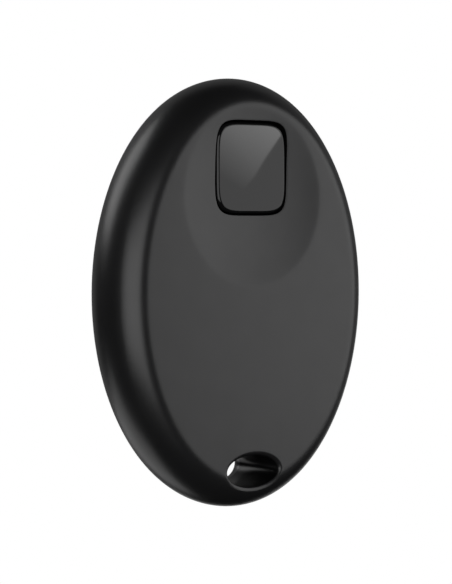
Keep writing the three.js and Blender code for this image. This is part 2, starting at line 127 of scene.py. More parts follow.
# %% Stage helpers
def emission(name, colour, strength):
    """A material that glows evenly and takes no light."""
    material = bpy.data.materials.new(name)
    material.use_nodes = True
    nodes, links = material.node_tree.nodes, material.node_tree.links
    nodes.clear()
    light = nodes.new("ShaderNodeEmission")
    light.inputs["Color"].default_value = (*colour, 1)
    light.inputs["Strength"].default_value = strength
    out = nodes.new("ShaderNodeOutputMaterial")
    links.new(light.outputs[0], out.inputs["Surface"])
    return material


def soft_box(name, azimuth, elevation, half_width, half_height, radiance, distance=1.2):
    """A rectangular area light that faces the middle of the tag from a compass direction.
    Azimuth 0 is straight in front and grows to the left, and the half sizes are the angles that the
    box fills, so twice the distance times their tangent is its size. Radiance is the light's
    brightness, and pi times radiance times area is its power."""
    a, e = math.radians(azimuth), math.radians(elevation)
    way = Vector((-math.sin(a) * math.cos(e), -math.cos(a) * math.cos(e), math.sin(e)))
    width = 2 * distance * math.tan(math.radians(half_width))
    height = 2 * distance * math.tan(math.radians(half_height))
    data = bpy.data.lights.new(name, "AREA")
    data.shape = "RECTANGLE"
    data.size, data.size_y = width, height
    data.energy = radiance * math.pi * width * height
    light = bpy.data.objects.new(name, data)
    place = Vector(MIDDLE) + way * distance
    light.matrix_world = Matrix.Translation(place) @ way.to_track_quat("Z", "Y").to_matrix().to_4x4()
    light.visible_camera = False
    bpy.context.scene.collection.objects.link(light)
    return light


# %% Soft boxes
LIGHTS = [
    # name, azimuth, elevation, half width and half height in degrees, radiance
    ("left_box", 41, -1, 31, 23, 2.2),
    ("right_box", -48.9, 3.5, 22.6, 16.5, 1.74),
    ("right_fill", -137, 15, 60, 44, 0.17),
    ("rim_box_high", 146, 33, 15, 19.5, 2.5),
    ("rim_box_low", 162, -44, 22, 21.5, 0.9),
    ("back_box", -134, -15, 17, 15, 0.55),
]
for light in LIGHTS:
    soft_box(*light)
print("soft boxes", [light[0] for light in LIGHTS])

# %% Floor and backdrop
def floor_plane():
    """A wide white sheet below the tag, which only the camera sees."""
    mesh = bpy.data.meshes.new("floor")
    reach, drop = 6.0, -0.12
    mesh.from_pydata([(-reach, -reach, drop), (reach, -reach, drop), (reach, reach, drop),
                      (-reach, reach, drop)], [], [(0, 1, 2, 3)])
    floor = bpy.data.objects.new("floor", mesh)
    mesh.materials.append(emission("pale_floor", (1, 1, 1), 1.0))
    bpy.context.scene.collection.objects.link(floor)
    floor.visible_glossy = False
    floor.visible_diffuse = False
    floor.visible_shadow = False
    return floor


def studio_world():
    """White where the camera looks past the tag, and a dark room in every reflection."""
    world = bpy.data.worlds.new("studio")
    world.use_nodes = True
    nodes, links = world.node_tree.nodes, world.node_tree.links
    nodes.clear()
    rays = nodes.new("ShaderNodeLightPath")
    white, dark = nodes.new("ShaderNodeBackground"), nodes.new("ShaderNodeBackground")
    white.inputs["Color"].default_value = (1, 1, 1, 1)
    dark.inputs["Strength"].default_value = 0.0
    mix, out = nodes.new("ShaderNodeMixShader"), nodes.new("ShaderNodeOutputWorld")
    links.new(rays.outputs["Is Camera Ray"], mix.inputs[0])
    links.new(dark.outputs[0], mix.inputs[1])
    links.new(white.outputs[0], mix.inputs[2])
    links.new(mix.outputs[0], out.inputs["Surface"])
    bpy.context.scene.world = world
    return world


floor = floor_plane()
world = studio_world()
bpy.context.scene.view_settings.view_transform = "Standard"
print("floor and backdrop", floor.name, world.name)

# %% [markdown]
# ## Finishes
#
# Nearly everything on the tag is one moulded plastic or a small metal part, so one helper makes a
# finish: a colour that drifts a little from place to place, a roughness that drifts with it, and a
# fine grain in the surface. All three read the object's own coordinates, so they stay put.

# %% Finish helper
COARSE = 20


def finish(name, colour, roughness, grain_mm=0.2, grain_depth=0.0, drift=0.08, spread=0.03,
           stretch=(1, 1, 1), **sockets):
    """Noise at grain_mm drives a bump of grain_depth millimetres; a noise COARSE times as wide
    moves the colour by drift and the roughness by spread. sockets are set on the shader as given."""
    material = bpy.data.materials.new(name)
    material.use_nodes = True
    nodes, links = material.node_tree.nodes, material.node_tree.links
    shader = nodes["Principled BSDF"]
    place = nodes.new("ShaderNodeTexCoord")
    scale = nodes.new("ShaderNodeMapping")
    scale.inputs["Scale"].default_value = stretch
    links.new(place.outputs["Object"], scale.inputs["Vector"])
    coarse = nodes.new("ShaderNodeTexNoise")
    coarse.inputs["Scale"].default_value = 1 / (COARSE * grain_mm * MM)
    coarse.inputs["Detail"].default_value = 3
    links.new(scale.outputs["Vector"], coarse.inputs["Vector"])
    tint = nodes.new("ShaderNodeMix")
    tint.data_type = "RGBA"
    other = tuple(min(1, c * (1 + 2 * drift)) for c in colour)
    tint.inputs["A"].default_value = (*colour, 1)
    tint.inputs["B"].default_value = (*other, 1)
    links.new(coarse.outputs["Fac"], tint.inputs["Factor"])
    links.new(tint.outputs["Result"], shader.inputs["Base Color"])
    rough = nodes.new("ShaderNodeMapRange")
    rough.inputs["From Min"].default_value = 0.3
    rough.inputs["From Max"].default_value = 0.7
    rough.inputs["To Min"].default_value = roughness - spread
    rough.inputs["To Max"].default_value = roughness + spread
    links.new(coarse.outputs["Fac"], rough.inputs["Value"])
    links.new(rough.outputs["Result"], shader.inputs["Roughness"])
    if grain_depth:
        fine = nodes.new("ShaderNodeTexNoise")
        fine.inputs["Scale"].default_value = 1 / (grain_mm * MM)
        fine.inputs["Detail"].default_value = 2
        links.new(scale.outputs["Vector"], fine.inputs["Vector"])
        bump = nodes.new("ShaderNodeBump")
        bump.inputs["Distance"].default_value = grain_depth * MM
        links.new(fine.outputs["Fac"], bump.inputs["Height"])
        links.new(bump.outputs["Normal"], shader.inputs["Normal"])
    for socket, value in sockets.items():
        shader.inputs[socket.replace("_", " ")].default_value = value
    return material


# %% Casing plastic, and the painted shade of the button gap and the ring tunnel
casing = finish("satin_casing", (0.0105, 0.0105, 0.011), 0.33, grain_mm=0.12, grain_depth=0.0015,
                drift=0.05, spread=0.012)
# painted shade: the button opening's wall and the cap's lower wall are near black with almost no gloss,
# standing in for the shadow deep in the gap between them
painted_gap_shade = finish("painted_gap_shade", (0.0015, 0.0015, 0.0015), 0.9, grain_mm=0.1, grain_depth=0.002,
                   drift=0.05, spread=0.04, Specular_IOR_Level=0.03)
gloss = finish("glossy_button", (0.006, 0.006, 0.0062), 0.025, grain_mm=0.6,
               drift=0.05, spread=0.0, Specular_IOR_Level=0.33)
# painted shade: the tunnel wall is the casing plastic made darker and less glossy, standing in for the shadow
# inside the ring tunnel
tunnel_satin_painted_shade = finish("tunnel_satin_painted_shade", (0.003, 0.003, 0.0032), 0.3, grain_mm=0.12, grain_depth=0.0015,
                      drift=0.05, spread=0.012, Specular_IOR_Level=0.24)
print("finishes", casing.name, gloss.name, painted_gap_shade.name, tunnel_satin_painted_shade.name)

# %% [markdown]
# ## Outer surfaces as functions
#
# The pebble is two surfaces over the same plan. Inside the plateau oval the front is a very low
# crown; outside it the rim falls away as a quarter of an ellipse. The thumb dish is the inside of a
# large ball, and where the two meet, a soft maximum leaves the small rounded edge of a moulding.

# %% Surface functions
def rim_share(x, z):
    """How far out on the rim a point lies, from 0 on the plateau's edge to 1 on the outline, found
    by halving: the oval that has grown by that share of the rim passes through the point."""
    inner, outer = np.zeros_like(x), np.ones_like(x)
    for _ in range(26):
        half = (inner + outer) / 2
        within = (x / (FLAT_X + RIM * half)) ** 2 + (z / (FLAT_Z + RIM * half)) ** 2 < 1
        outer, inner = np.where(within, half, outer), np.where(within, inner, half)
    return (inner + outer) / 2


def front_rim(turn, share):
    """Depth of the front rim: the half thickness less the crown, times the square root of one less
    the share squared, eased at its start so that it leaves the crown without a crease."""
    fall = np.sqrt(np.maximum(0, 1 - share ** 2))
    slope = 2 * CROWN * (np.cos(turn) ** 2 / FLAT_X + np.sin(turn) ** 2 / FLAT_Z)
    return -(HALF_THICKNESS - CROWN) * fall + slope * RIM * share * fall


def smooth_max(a, b, softness):
    """The larger of two depths, with a rounded corner about as wide as softness over their slope."""
    return (a + b + np.sqrt((a - b) ** 2 + softness ** 2)) / 2


def front_depth(x, z):
    """The crown falls as the square of the distance across the plateau, and the dish is the inside
    of a ball: its floor less the ball's radius, plus the root of radius squared less reach squared."""
    share = rim_share(x, z)
    turn = np.arctan2(z / (FLAT_Z + RIM * share), x / (FLAT_X + RIM * share))
    crown = -HALF_THICKNESS + CROWN * ((x / FLAT_X) ** 2 + (z / FLAT_Z) ** 2)
    body = np.where((x / FLAT_X) ** 2 + (z / FLAT_Z) ** 2 < 1, crown, front_rim(turn, share))
    reach = np.minimum(x ** 2 + (z - DISH_RISE) ** 2, DISH_BALL ** 2)
    dish = DISH_FLOOR - DISH_BALL + np.sqrt(DISH_BALL ** 2 - reach)
    soft = smooth_max(body, dish, DISH_EDGE)
    near = np.clip((DISH_REACH - np.sqrt(reach)) / DISH_FADE, 0, 1)
    return body + (soft - body) * near


def back_depth(x, z):
    """Flat inside the plateau oval, a quarter ellipse outside it, and a finger-nail scoop that
    crosses the seam of the cover at its top."""
    share = rim_share(x, z)
    flat = (x / FLAT_X) ** 2 + (z / FLAT_Z) ** 2 < 1
    body = HALF_THICKNESS * np.where(flat, 1, np.sqrt(np.maximum(0, 1 - share ** 2)))
    away = np.sqrt((x / PRY_HALF_X) ** 2 + ((z - PRY_RISE) / PRY_HALF_Z) ** 2)
    ease = np.clip((1 - away) / PRY_EASE, 0, 1)
    return body - PRY_DEPTH * ease ** 2 * (3 - 2 * ease)


print("front depth on the axis", front_depth(np.array([0.0]), np.array([0.0])))

# %% [markdown]
# ## Sheets, strips and one closed skin
#
# A face with holes in it is laid out flat first: its outlines and a lattice of points are joined by
# a constrained triangulation, and a depth function then lifts it. Walls and fillets are strips
# between rings of points. The sheets share their edge points, so welding makes one closed skin.

# %% Outline and lattice helpers
def oval(half_x, half_z, count, rise=0.0, squareness=2, across=0.0):
    """A superellipse: the cosine and sine of the turn, stretched until their powers add to one."""
    turn = np.arange(count) * 2 * np.pi / count
    c, s = np.cos(turn), np.sin(turn)
    reach = (np.abs(c) ** squareness + np.abs(s) ** squareness) ** (-1 / squareness)
    return np.stack([across + half_x * c * reach, rise + half_z * s * reach], -1)


def within_oval(points, half_x, half_z, rise=0.0, squareness=2, across=0.0):
    """Whether each plan point lies inside a superellipse: its two powers add to less than one."""
    u, v = np.abs(points[:, 0] - across) / half_x, np.abs(points[:, 1] - rise) / half_z
    return u ** squareness + v ** squareness < 1


def lattice(half_x, half_z, pitch, rise=0.0):
    """Rows of points, every other row shifted by half a pitch, as in a honeycomb."""
    rows = np.arange(-half_z, half_z, pitch * math.sqrt(3) / 2)
    columns = np.arange(-half_x, half_x, pitch)
    x, z = np.meshgrid(columns, rows)
    x = x + (np.arange(len(rows)) % 2 * pitch / 2)[:, None]
    return np.stack([x.ravel(), z.ravel() + rise], -1)


def rings_around(radii, pitch, rise=0.0):
    """Circles of points about one middle, each with a point every pitch along it."""
    circles = [oval(r, r, int(2 * np.pi * r / pitch), rise) for r in radii]
    return np.concatenate(circles)


def clear_of(points, others, distance):
    """Leaves out the points that are nearer than a distance to any of the others."""
    keep = np.ones(len(points), bool)
    for part in np.array_split(np.arange(len(points)), max(1, len(points) // 2000)):
        gap = points[part, None, :] - others[None, :, :]
        keep[part] = (gap ** 2).sum(-1).min(1) > distance ** 2
    return points[keep]


def loop_edges(count, first=0):
    """Pairs of point numbers that join each point to the next and the last to the first."""
    run = np.arange(count)
    return np.stack([run, (run + 1) % count], -1) + first


# %% Filling between outlines
def fill(outlines, inner, pitch, loose=None):
    """Triangles over the part of the plane that lies inside an odd number of closed outlines. inner
    points keep 0.6 of a pitch away from every outline. loose is a pair of points and edges for
    outlines that come as separate edges."""
    edges, start = [], 0
    for outline in outlines:
        edges.append(loop_edges(len(outline), start))
        start += len(outline)
    rim = np.concatenate(outlines)
    if loose is not None:
        edges.append(loose[1] + len(rim))
        rim = np.concatenate([rim, loose[0]])
    edges = np.concatenate(edges)
    inner = clear_of(inner, rim, 0.6 * pitch) if len(inner) else inner.reshape(0, 2)
    plan = [Vector(p) for p in np.concatenate([rim, inner]).tolist()]
    flat, _, faces, origins, _, _ = delaunay_2d_cdt(plan, edges.tolist(), [], 0, 1e-7)
    flat = np.array([tuple(v) for v in flat])
    faces = np.array(faces)
    on_rim = np.array([bool(o) and min(o) < len(rim) for o in origins])
    unsure = on_rim[faces].all(1)
    middles = flat[faces[unsure]].mean(1)
    a, b = rim[edges[:, 0]], rim[edges[:, 1]]
    spans = (a[None, :, 1] > middles[:, None, 1]) != (b[None, :, 1] > middles[:, None, 1])
    rise = np.where(a[:, 1] == b[:, 1], 1, b[:, 1] - a[:, 1])
    cross = a[None, :, 0] + (middles[:, None, 1] - a[None, :, 1]) * ((b - a)[:, 0] / rise)[None, :]
    crossings = (spans & (cross > middles[:, None, 0])).sum(1)
    keep = np.ones(len(faces), bool)
    keep[unsure] = crossings % 2 == 1
    return flat, faces[keep]


def raised(plan, y):
    """The points of a flat outline at a depth, which is one number or one for each point."""
    return np.stack([plan[:, 0], np.broadcast_to(y, len(plan)), plan[:, 1]], -1)


def lifted(flat, faces, depth):
    """Gives each point of a flat sheet its depth, a number or a function of the plan."""
    y = depth(flat[:, 0], flat[:, 1]) if callable(depth) else depth
    return raised(flat, y), faces


def strip(rings):
    """Quads between successive rings of points, all with the same count."""
    rows, count = rings.shape[:2]
    run, row = np.arange(count), np.arange(rows - 1)[:, None] * count
    after = (run + 1) % count
    quads = np.stack([row + run, row + after, row + after + count, row + run + count], -1)
    return rings.reshape(-1, 3), quads.reshape(-1, 4)


# %% Lip and weld helpers
def lip(half_x, half_z, rise, squareness, count, depth, reach, drop, inward, steps=7, across=0.0,
        power=2.0, level=0.0):
    """A fillet round a hole: a quarter of a superellipse carries the outline in by reach while it
    sinks by drop below the face, and a negative reach carries an outer edge out. inward is +1 for
    the front face and -1 for the back. level is the share of the face's own fall that the fillet
    leaves out, which makes a land."""
    outer = oval(half_x + reach, half_z + reach, count, rise, squareness, across)
    start = depth(outer[:, 0], outer[:, 1])
    rings = []
    for share in np.sin(np.linspace(0, np.pi / 2, steps)):
        grow, sink = reach * (1 - share), drop * (1 - (1 - share ** power) ** (1 / power))
        plan = oval(half_x + grow, half_z + grow, count, rise, squareness, across)
        face = depth(plan[:, 0], plan[:, 1])
        rings.append(raised(plan, face + level * (start - face) + inward * sink))
    return np.array(rings)


def wall(ring, y, steps=1):
    """Straight through the thickness from a ring to one depth."""
    share = np.linspace(0, 1, steps + 1)[:, None, None]
    end = ring.copy()
    end[:, 1] = y
    return ring[None] * (1 - share) + end[None] * share


def skin(name, sheets, sharp=35):
    """Welds sheets of millimetre points into one mesh in metres and turns every face outwards."""
    built = bmesh.new()
    for points, faces in sheets:
        sheet = bpy.data.meshes.new("sheet")
        sheet.from_pydata((points * MM + MIDDLE).tolist(), [], faces.tolist())
        built.from_mesh(sheet)
        bpy.data.meshes.remove(sheet)
    bmesh.ops.remove_doubles(built, verts=built.verts, dist=2e-6)
    bmesh.ops.recalc_face_normals(built, faces=built.faces)
    gaps = sum(not edge.is_manifold for edge in built.edges)
    mesh = bpy.data.meshes.new(name)
    built.to_mesh(mesh)
    built.free()
    mesh.polygons.foreach_set("use_smooth", np.ones(len(mesh.polygons), bool))
    mesh.set_sharp_from_angle(angle=math.radians(sharp))
    piece = bpy.data.objects.new(name, mesh)
    bpy.context.scene.collection.objects.link(piece)
    print(name, "faces", len(mesh.polygons), "open edges", gaps)
    return piece


def frame_faces(node, keep):
    """The faces of a frame node that keep() picks by their corners, in drawing millimetres, and the
    edges that those faces leave open."""
    joined = bmesh.new()
    joined.from_mesh(frame["nodes"][node].data)
    bmesh.ops.remove_doubles(joined, verts=joined.verts, dist=1e-6)
    points = (np.array([v.co[:] for v in joined.verts]) - MIDDLE) / MM
    faces = np.array([[v.index for v in f.verts] for f in joined.faces])
    joined.free()
    faces = faces[keep(points[faces])]
    sides = np.sort(faces[:, [[0, 1], [1, 2], [2, 0]]].reshape(-1, 2), 1)
    sides, uses = np.unique(sides, axis=0, return_counts=True)
    return points, faces, sides[uses == 1]


def open_at(points, edges, y):
    """The open edges that lie at one depth, as plan points and pairs of their numbers."""
    level = edges[(np.abs(points[edges][:, :, 1] - y) < LEVEL).all(1)]
    used, pairs = np.unique(level, return_inverse=True)
    return points[used][:, [0, 2]], pairs.reshape(-1, 2)


# %% [markdown]
# ## Front shell
#
# The shell is one injection moulding: front face, dish, button opening, ring tunnel, rim and the
# seat for the back cover. Its inside keeps the frame's own faces, which show with the cover off.

# %% Front shell: faces and rim
PATCH_TURN = math.radians(50)          # how far down the rim the face's own sheet reaches
RIM_STEPS, BUTTON_STEPS, HOLE_STEPS, COVER_STEPS = 512, 320, 192, 384
BUTTON_LIP, HOLE_LIP, BACK_HOLE_LIP, SEAM_LIP = 0.05, 0.5, 0.7, 0.12
PATCH_X, PATCH_Z = FLAT_X + RIM * math.sin(PATCH_TURN), FLAT_Z + RIM * math.sin(PATCH_TURN)
FACE_PITCH, EDGE_PITCH, EDGE_STEP, SCOOP_PITCH, SCOOP_MARGIN = 0.3, 0.22, 0.14, 0.12, 0.4
DISH_EDGE_FROM, DISH_EDGE_TO, DISH_EDGE_CLEAR = 9.3, 11.8, 0.15
OUTLINE_CLEAR = 0.05


def mouth(points, half_x, half_z, reach, count, rise, squareness=2, across=0.0):
    """The outline of an opening where its lip meets the face, and the points that lie outside it."""
    outline = oval(half_x + reach, half_z + reach, count, rise, squareness, across)
    inside = within_oval(points, half_x + reach, half_z + reach, rise, squareness, across)
    return outline, points[~inside]


def with_scoop(points, clear):
    """Puts a finer patch of points where the finger-nail scoop dips the back."""
    scoop = lattice(PRY_HALF_X + SCOOP_MARGIN, PRY_HALF_Z + SCOOP_MARGIN, SCOOP_PITCH, PRY_RISE)
    return np.concatenate([clear_of(points, scoop, clear), scoop])


def front_face():
    """The front up to part of the way down the rim, with finer rings of points along the dish's edge."""
    outline = oval(PATCH_X, PATCH_Z, RIM_STEPS)
    edge = rings_around(np.arange(DISH_EDGE_FROM, DISH_EDGE_TO, EDGE_STEP), EDGE_PITCH, DISH_RISE)
    points = lattice(PATCH_X, PATCH_Z, FACE_PITCH)
    away = np.hypot(points[:, 0], points[:, 1] - DISH_RISE)
    coarse = (away < DISH_EDGE_FROM - DISH_EDGE_CLEAR) | (away > DISH_EDGE_TO + DISH_EDGE_CLEAR)
    points = np.concatenate([points[coarse], edge])
    points = points[within_oval(points, PATCH_X - OUTLINE_CLEAR, PATCH_Z - OUTLINE_CLEAR)]
    button, points = mouth(points, BUTTON_HALF_X, BUTTON_HALF_Z, BUTTON_LIP, BUTTON_STEPS,
                           BUTTON_RISE, SQUARENESS)
    hole, points = mouth(points, HOLE_HALF_X, HOLE_HALF_Z, HOLE_LIP, HOLE_STEPS, -HOLE_DROP)
    return lifted(*fill([outline, button, hole], points, pitch=0.2), front_depth)


def outer_rim(steps=44):
    """An oval carried round the edge of the tag: its reach is the sine and its depth the cosine of a
    turn that runs from the front patch, over the outline, to the back patch."""
    turn = np.linspace(PATCH_TURN, math.pi - PATCH_TURN, steps)
    plan = np.array([oval(FLAT_X + RIM * s, FLAT_Z + RIM * s, RIM_STEPS) for s in np.sin(turn)])
    round_turn = np.arange(RIM_STEPS) * 2 * np.pi / RIM_STEPS
    front = front_rim(round_turn[None, :], np.sin(turn)[:, None])
    back = -HALF_THICKNESS * np.cos(turn)[:, None] * np.ones(RIM_STEPS)
    y = np.where(turn[:, None] < np.pi / 2, front, back)
    y[0] = front_depth(plan[0, :, 0], plan[0, :, 1])
    return strip(np.stack([plan[..., 0], y, plan[..., 1]], -1))


def back_face():
    """The back round the cover's seat, up to part of the way over the rim."""
    outline = oval(PATCH_X, PATCH_Z, RIM_STEPS)
    points = with_scoop(lattice(PATCH_X, PATCH_Z, FACE_PITCH), clear=0.2)
    points = points[within_oval(points, PATCH_X - OUTLINE_CLEAR, PATCH_Z - OUTLINE_CLEAR)]
    seat, points = mouth(points, COVER_HALF_X, COVER_HALF_Z, SEAM_LIP, COVER_STEPS, COVER_RISE)
    hole, points = mouth(points, HOLE_HALF_X, HOLE_HALF_Z, BACK_HOLE_LIP, HOLE_STEPS, -HOLE_DROP)
    return lifted(*fill([outline, seat, hole], points, pitch=0.15), back_depth)


# %% Front shell: openings and inside
FRONT_SINK, LAND_SINK, BACK_SINK = 0.42, 0.3, 1.8       # how far each lip of the tunnel falls
ROUND_POWER, LAND_POWER = 2, 3.5


def button_opening():
    """A very small lip and a wall down to the inner side of the dish, with the wall's end ring."""
    edge = lip(BUTTON_HALF_X, BUTTON_HALF_Z, BUTTON_RISE, SQUARENESS, BUTTON_STEPS, front_depth,
               BUTTON_LIP, BUTTON_LIP, 1)
    return [strip(edge), strip(wall(edge[-1], DISH_WALL, steps=4))], edge[-1]


def ring_tunnel():
    """The front lip is round at the sides. At the tag's end, where a ring pulls, it is a level land
    with a tight inner corner: the share of land is 2d less d squared, d being how far down a point lies."""
    down = np.clip(-np.sin(np.arange(HOLE_STEPS) * 2 * np.pi / HOLE_STEPS), 0, 1)
    land = down * (2 - down)
    throat = (HOLE_HALF_X, HOLE_HALF_Z, -HOLE_DROP, 2, HOLE_STEPS)
    sink = FRONT_SINK + (LAND_SINK - FRONT_SINK) * land
    power = ROUND_POWER + (LAND_POWER - ROUND_POWER) * land
    front = lip(*throat, front_depth, HOLE_LIP, sink, 1, steps=19, power=power, level=land)
    back = lip(*throat, back_depth, BACK_HOLE_LIP, BACK_SINK, -1, steps=15)
    share = np.linspace(0, 1, 15)[:, None, None]
    through = front[-1][None] * (1 - share) + back[-1][None] * share
    return [strip(front), strip(through), strip(back)]


def cover_seat():
    """The lip and wall that the cover drops into, down to the ledge, with the wall's end ring."""
    edge = lip(COVER_HALF_X, COVER_HALF_Z, COVER_RISE, 2, COVER_STEPS, back_depth, SEAM_LIP, SEAM_LIP, -1)
    return [strip(edge), strip(wall(edge[-1], LEDGE, steps=2))], edge[-1]


def inside_of_shell(corners):
    """Picks what lies in the pocket or the flange's recess: behind the front wall, in front of the
    ledge, and not the two flat levels that are drawn again with finer outlines."""
    x, y, z = corners[..., 0], corners[..., 1], corners[..., 2]
    pocket = (x / POCKET_HALF_X) ** 2 + ((z - COVER_RISE) / POCKET_HALF_Z) ** 2 < POCKET_EDGE
    recess = (np.abs(x) < RECESS_HALF_X) & (np.abs(z - BUTTON_RISE) < RECESS_HALF_Z) & (y < RECESS_BACK)
    held = ((pocket | recess) & (y > POCKET_FRONT) & (y < LEDGE + SPARE)).all(1)
    level = (np.abs(y - LEDGE) < LEVEL).all(1) | (np.abs(y - DISH_WALL) < LEVEL).all(1)
    return held & ~level


def front_shell():
    """The outer sheets, the frame's inner faces, and the two flat levels that join them."""
    opening, opening_edge = button_opening()
    seat, seat_edge = cover_seat()
    points, faces, edges = frame_faces("front_shell", inside_of_shell)
    none = np.zeros((0, 2))
    ledge = fill([seat_edge[:, [0, 2]]], none, 1, open_at(points, edges, LEDGE))
    behind = fill([opening_edge[:, [0, 2]]], none, 1, open_at(points, edges, DISH_WALL))
    sheets = [front_face(), outer_rim(), back_face(), *opening, *ring_tunnel(), *seat,
              (points, faces), lifted(*ledge, LEDGE), lifted(*behind, DISH_WALL)]
    return skin("shell_moulding", sheets)


def second_finish(piece, material, chosen):
    """Gives the faces whose middles, in drawing millimetres, pass a test the piece's next finish."""
    piece.data.materials.append(material)
    middles = np.empty(len(piece.data.polygons) * 3)
    piece.data.polygons.foreach_get("center", middles)
    middles = (middles.reshape(-1, 3) - MIDDLE) / MM
    index = np.empty(len(piece.data.polygons), np.int32)
    piece.data.polygons.foreach_get("material_index", index)
    index[chosen(middles)] = len(piece.data.materials) - 1
    piece.data.polygons.foreach_set("material_index", index)


def opening_wall(m):
    """The button opening's wall: inside its outline, and behind the dish by more than the lip."""
    inside = within_oval(m[:, [0, 2]], BUTTON_HALF_X + SPARE, BUTTON_HALF_Z + SPARE, BUTTON_RISE, SQUARENESS)
    below_lip = m[:, 1] > front_depth(m[:, 0], m[:, 2]) + BUTTON_LIP + SPARE
    return inside & below_lip & (m[:, 1] < DISH_WALL + SPARE)


def tunnel_wall(m):
    """What lies between the tunnel's two lips."""
    return within_oval(m[:, [0, 2]], HOLE_HALF_X + SPARE, HOLE_HALF_Z + SPARE, -HOLE_DROP)


shell = front_shell()
shell.data.materials.append(casing)
# the opening's wall takes the painted shade of the gap
second_finish(shell, painted_gap_shade, opening_wall)
# the tunnel's wall takes the painted shade of the tunnel
second_finish(shell, tunnel_satin_painted_shade, tunnel_wall)
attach(shell, "housing")
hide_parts("front_shell")

# %% [markdown]
# ## Button cap
#
# The cap is moulded in gloss black. It stands a little proud of the dish, with a softly rounded
# edge, and a wider flange behind the shell keeps it in. One outline is carried from the middle of
# the face over the edge, down the wall, out round the flange and in again to the post.

# %% Button cap
AXIS = 0.05                   # the radius at which a turned face stops, and a fan closes it
CAP_CROWN, CAP_EDGE = 0.01, 0.36
# painted shade: from this far below the dish's floor the cap's wall is near black, where the gap is in shadow
CAP_SHADE = 0.1               # the cap's wall is dull black from this far below the dish's floor
FLANGE_GAP, FLANGE_LIP, FLANGE_THICKNESS, POST_RADIUS = 0.05, 0.75, 0.35, 0.8
FACE_SHARES = (*np.linspace(0.04, 0.97, 15), 0.99, 0.997, 1)


def cap_rings():
    """Each ring is an outline between the button's superellipse and a circle, with its own depth:
    the face sinks by the square of the share from its middle, and the edge is a quarter turn."""
    low_cap, high_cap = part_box("button_cap")
    face, post_end = low_cap.y / MM, high_cap.y / MM
    half_x, half_z = BUTTON_HALF_X - BUTTON_GAP, BUTTON_HALF_Z - BUTTON_GAP
    rows = [((half_x - CAP_EDGE) * s, (half_z - CAP_EDGE) * s, SQUARENESS, face + CAP_CROWN * s ** 2)
            for s in FACE_SHARES]
    for turn in np.linspace(0, np.pi / 2, 13)[1:]:
        shrink = CAP_EDGE * (1 - math.sin(turn))
        sunk = face + CAP_CROWN + CAP_EDGE * (1 - math.cos(turn))
        rows.append((half_x - shrink, half_z - shrink, SQUARENESS, sunk))
    flange_x, flange_z = BUTTON_HALF_X + FLANGE_LIP, BUTTON_HALF_Z + FLANGE_LIP
    front, back = DISH_WALL + FLANGE_GAP, DISH_WALL + FLANGE_GAP + FLANGE_THICKNESS
    rows += [(half_x, half_z, SQUARENESS, front), (flange_x, flange_z, SQUARENESS, front),
             (flange_x, flange_z, SQUARENESS, back), (POST_RADIUS, POST_RADIUS, 2, back),
             (POST_RADIUS, POST_RADIUS, 2, post_end), (AXIS, AXIS, 2, post_end)]
    return np.array([raised(oval(row_x, row_z, BUTTON_STEPS, BUTTON_RISE, squareness), y)
                     for row_x, row_z, squareness, y in rows])


def fan(ring, y):
    """Closes a ring with a middle point at one depth."""
    middle = np.array([[ring[:, 0].mean(), y, ring[:, 2].mean()]])
    run = np.arange(len(ring))
    faces = np.stack([run, (run + 1) % len(ring), np.full(len(ring), len(ring))], -1)
    return np.concatenate([ring, middle]), faces


rings = cap_rings()
ends = [fan(rings[0], rings[0, 0, 1]), fan(rings[-1], rings[-1, 0, 1])]
cap = skin("gloss_button_cap", [strip(rings), *ends], sharp=30)
cap.data.materials.append(gloss)
# the cap's wall below the dish floor takes the painted shade of the gap
second_finish(cap, painted_gap_shade, lambda m: m[:, 1] > DISH_FLOOR + CAP_SHADE)
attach(cap, "button")
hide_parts("button_cap")

# %% [markdown]
# ## Button reflection card
#
# The gloss cap works as a small mirror. A photographer would hang a graded card where the cap
# points, so that the face shows a bright part with a straight diagonal edge. The card is found by
# following the camera's ray to each point of the face and on from its normal to one plane in front.
# It adds light to what is behind it. Only mirrored rays meet it, and only the cap takes its light,
# so the diagonal is seen from this one camera.

# %% Card shape
CARD_REACH, CARD_HALF, CARD_STEPS = 150, 6, 33
CARD_GLOW = (0.175, 0.358, 1.1)      # brightness: its slope along u, its slope along v, its middle value
CARD_STOP = (-8.4, 7.2, 9.7)         # the same for the straight edge, from 0 past it to 1 before it


def reflection_card():
    """A grid over the cap's face, u and v millimetres from its middle, sent to the plane that lies
    CARD_REACH in front: the ray less twice its part along the normal."""
    across = np.linspace(-CARD_HALF, CARD_HALF, CARD_STEPS)
    u, v = np.meshgrid(across, across)
    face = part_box("button_cap")[0].y / MM
    lean = 2 * CAP_CROWN / (BUTTON_HALF_X - BUTTON_GAP - CAP_EDGE) ** 2
    spot = np.stack([u, np.full_like(u, face), v + BUTTON_RISE], -1)
    eye = (np.array(camera.matrix_world.translation) - MIDDLE) / MM
    ray = spot - eye
    ray /= np.linalg.norm(ray, axis=-1, keepdims=True)
    normal = np.stack([u * lean, -np.ones_like(u), v * lean], -1)
    normal /= np.linalg.norm(normal, axis=-1, keepdims=True)
    away = ray - 2 * (ray * normal).sum(-1, keepdims=True) * normal
    card = spot + away * (-CARD_REACH / away[..., 1:2])
    run = np.arange(CARD_STEPS - 1)
    first = (run[:, None] * CARD_STEPS + run).ravel()
    faces = np.stack([first, first + 1, first + 1 + CARD_STEPS, first + CARD_STEPS], -1)
    mesh = bpy.data.meshes.new("reflection_card")
    mesh.from_pydata((card.reshape(-1, 3) * MM + MIDDLE).tolist(), [], faces.tolist())
    layer = mesh.uv_layers.new(name="face_mm")
    flat = np.stack([u.ravel(), v.ravel()], -1)[faces.ravel()]
    layer.data.foreach_set("uv", flat.astype(np.float32).ravel())
    return mesh


